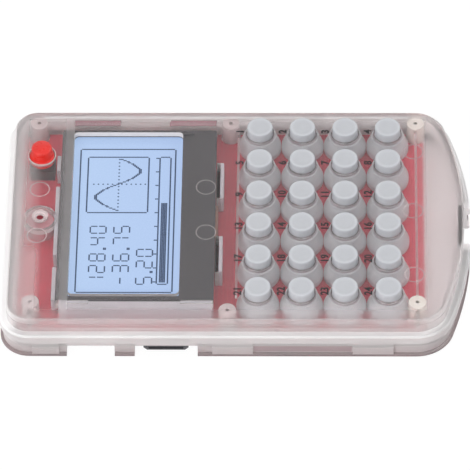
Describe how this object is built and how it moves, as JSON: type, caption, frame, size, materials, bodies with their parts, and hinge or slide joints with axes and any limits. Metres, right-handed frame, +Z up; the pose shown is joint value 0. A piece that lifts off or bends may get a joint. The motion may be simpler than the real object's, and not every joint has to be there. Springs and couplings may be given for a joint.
{
  "type": "engraver offline controller",
  "caption": "Hand-held offline controller for an engraving machine: frosted clear case, red board inside, lit display, grid of round grey push keys and a red stop button",
  "frame": {"origin": "on the table plane, under the middle of the case's outline, with the case lying on its back", "axes": "+X along the case from the display end to the rounded end, +Y across it from the socket side to the plain side, +Z up, out of the key face"},
  "size_m": [0.1572, 0.0994, 0.0203],
  "materials": {
    "case_plastic": "frosted clear plastic",
    "board": "red solder mask",
    "display_frame": "dark grey plastic",
    "display_glass": "lit pale blue panel behind a smooth film",
    "backlight": "white moulding",
    "ribbon": "amber film",
    "dark_plastic": "black moulding",
    "switch_metal": "tinned sheet",
    "key_plastic": "light grey, fine matt",
    "stop_plastic": "red, smooth",
    "socket_plastic": "dark grey",
    "screw_steel": "plated"
  },
  "bodies": {
    "case": {"upper_shell": "case_plastic", "lower_shell": "case_plastic", "circuit_board": "board", "display_frame": "display_frame", "display_glass": "display_glass", "display_backlight": "backlight", "display_ribbon": "ribbon", "key_switch_bases": "dark_plastic", "key_switch_covers": "switch_metal", "stop_switch": "dark_plastic", "buzzer": "dark_plastic", "card_socket": "switch_metal", "cable_socket": "socket_plastic", "controller_chip": "dark_plastic", "memory_chip": "dark_plastic", "case_screws": "screw_steel"},
    "key_01_body": {"key_01": "key_plastic"},
    "key_02_body": {"key_02": "key_plastic"},
    "key_03_body": {"key_03": "key_plastic"},
    "key_04_body": {"key_04": "key_plastic"},
    "key_05_body": {"key_05": "key_plastic"},
    "key_06_body": {"key_06": "key_plastic"},
    "key_07_body": {"key_07": "key_plastic"},
    "key_08_body": {"key_08": "key_plastic"},
    "key_09_body": {"key_09": "key_plastic"},
    "key_10_body": {"key_10": "key_plastic"},
    "key_11_body": {"key_11": "key_plastic"},
    "key_12_body": {"key_12": "key_plastic"},
    "key_13_body": {"key_13": "key_plastic"},
    "key_14_body": {"key_14": "key_plastic"},
    "key_15_body": {"key_15": "key_plastic"},
    "key_16_body": {"key_16": "key_plastic"},
    "key_17_body": {"key_17": "key_plastic"},
    "key_18_body": {"key_18": "key_plastic"},
    "key_19_body": {"key_19": "key_plastic"},
    "key_20_body": {"key_20": "key_plastic"},
    "key_21_body": {"key_21": "key_plastic"},
    "key_22_body": {"key_22": "key_plastic"},
    "key_23_body": {"key_23": "key_plastic"},
    "key_24_body": {"key_24": "key_plastic"},
    "stop_button_body": {"stop_button": "stop_plastic"}
  },
  "joints": [
    {"name": "key_01_press", "type": "slide", "parent": "case", "child": "key_01_body", "axis": [0, 0, -1], "range_m": [0, 0.0005], "stiffness_N_per_m": 120},
    {"name": "key_02_press", "type": "slide", "parent": "case", "child": "key_02_body", "axis": [0, 0, -1], "range_m": [0, 0.0005], "stiffness_N_per_m": 120},
    {"name": "key_03_press", "type": "slide", "parent": "case", "child": "key_03_body", "axis": [0, 0, -1], "range_m": [0, 0.0005], "stiffness_N_per_m": 120},
    {"name": "key_04_press", "type": "slide", "parent": "case", "child": "key_04_body", "axis": [0, 0, -1], "range_m": [0, 0.0005], "stiffness_N_per_m": 120},
    {"name": "key_05_press", "type": "slide", "parent": "case", "child": "key_05_body", "axis": [0, 0, -1], "range_m": [0, 0.0005], "stiffness_N_per_m": 120},
    {"name": "key_06_press", "type": "slide", "parent": "case", "child": "key_06_body", "axis": [0, 0, -1], "range_m": [0, 0.0005], "stiffness_N_per_m": 120},
    {"name": "key_07_press", "type": "slide", "parent": "case", "child": "key_07_body", "axis": [0, 0, -1], "range_m": [0, 0.0005], "stiffness_N_per_m": 120},
    {"name": "key_08_press", "type": "slide", "parent": "case", "child": "key_08_body", "axis": [0, 0, -1], "range_m": [0, 0.0005], "stiffness_N_per_m": 120},
    {"name": "key_09_press", "type": "slide", "parent": "case", "child": "key_09_body", "axis": [0, 0, -1], "range_m": [0, 0.0005], "stiffness_N_per_m": 120},
    {"name": "key_10_press", "type": "slide", "parent": "case", "child": "key_10_body", "axis": [0, 0, -1], "range_m": [0, 0.0005], "stiffness_N_per_m": 120},
    {"name": "key_11_press", "type": "slide", "parent": "case", "child": "key_11_body", "axis": [0, 0, -1], "range_m": [0, 0.0005], "stiffness_N_per_m": 120},
    {"name": "key_12_press", "type": "slide", "parent": "case", "child": "key_12_body", "axis": [0, 0, -1], "range_m": [0, 0.0005], "stiffness_N_per_m": 120},
    {"name": "key_13_press", "type": "slide", "parent": "case", "child": "key_13_body", "axis": [0, 0, -1], "range_m": [0, 0.0005], "stiffness_N_per_m": 120},
    {"name": "key_14_press", "type": "slide", "parent": "case", "child": "key_14_body", "axis": [0, 0, -1], "range_m": [0, 0.0005], "stiffness_N_per_m": 120},
    {"name": "key_15_press", "type": "slide", "parent": "case", "child": "key_15_body", "axis": [0, 0, -1], "range_m": [0, 0.0005], "stiffness_N_per_m": 120},
    {"name": "key_16_press", "type": "slide", "parent": "case", "child": "key_16_body", "axis": [0, 0, -1], "range_m": [0, 0.0005], "stiffness_N_per_m": 120},
    {"name": "key_17_press", "type": "slide", "parent": "case", "child": "key_17_body", "axis": [0, 0, -1], "range_m": [0, 0.0005], "stiffness_N_per_m": 120},
    {"name": "key_18_press", "type": "slide", "parent": "case", "child": "key_18_body", "axis": [0, 0, -1], "range_m": [0, 0.0005], "stiffness_N_per_m": 120},
    {"name": "key_19_press", "type": "slide", "parent": "case", "child": "key_19_body", "axis": [0, 0, -1], "range_m": [0, 0.0005], "stiffness_N_per_m": 120},
    {"name": "key_20_press", "type": "slide", "parent": "case", "child": "key_20_body", "axis": [0, 0, -1], "range_m": [0, 0.0005], "stiffness_N_per_m": 120},
    {"name": "key_21_press", "type": "slide", "parent": "case", "child": "key_21_body", "axis": [0, 0, -1], "range_m": [0, 0.0005], "stiffness_N_per_m": 120},
    {"name": "key_22_press", "type": "slide", "parent": "case", "child": "key_22_body", "axis": [0, 0, -1], "range_m": [0, 0.0005], "stiffness_N_per_m": 120},
    {"name": "key_23_press", "type": "slide", "parent": "case", "child": "key_23_body", "axis": [0, 0, -1], "range_m": [0, 0.0005], "stiffness_N_per_m": 120},
    {"name": "key_24_press", "type": "slide", "parent": "case", "child": "key_24_body", "axis": [0, 0, -1], "range_m": [0, 0.0005], "stiffness_N_per_m": 120},
    {"name": "stop_button_press", "type": "slide", "parent": "case", "child": "stop_button_body", "axis": [0, 0, -1], "range_m": [0, 0.001], "stiffness_N_per_m": 120}
  ]
}
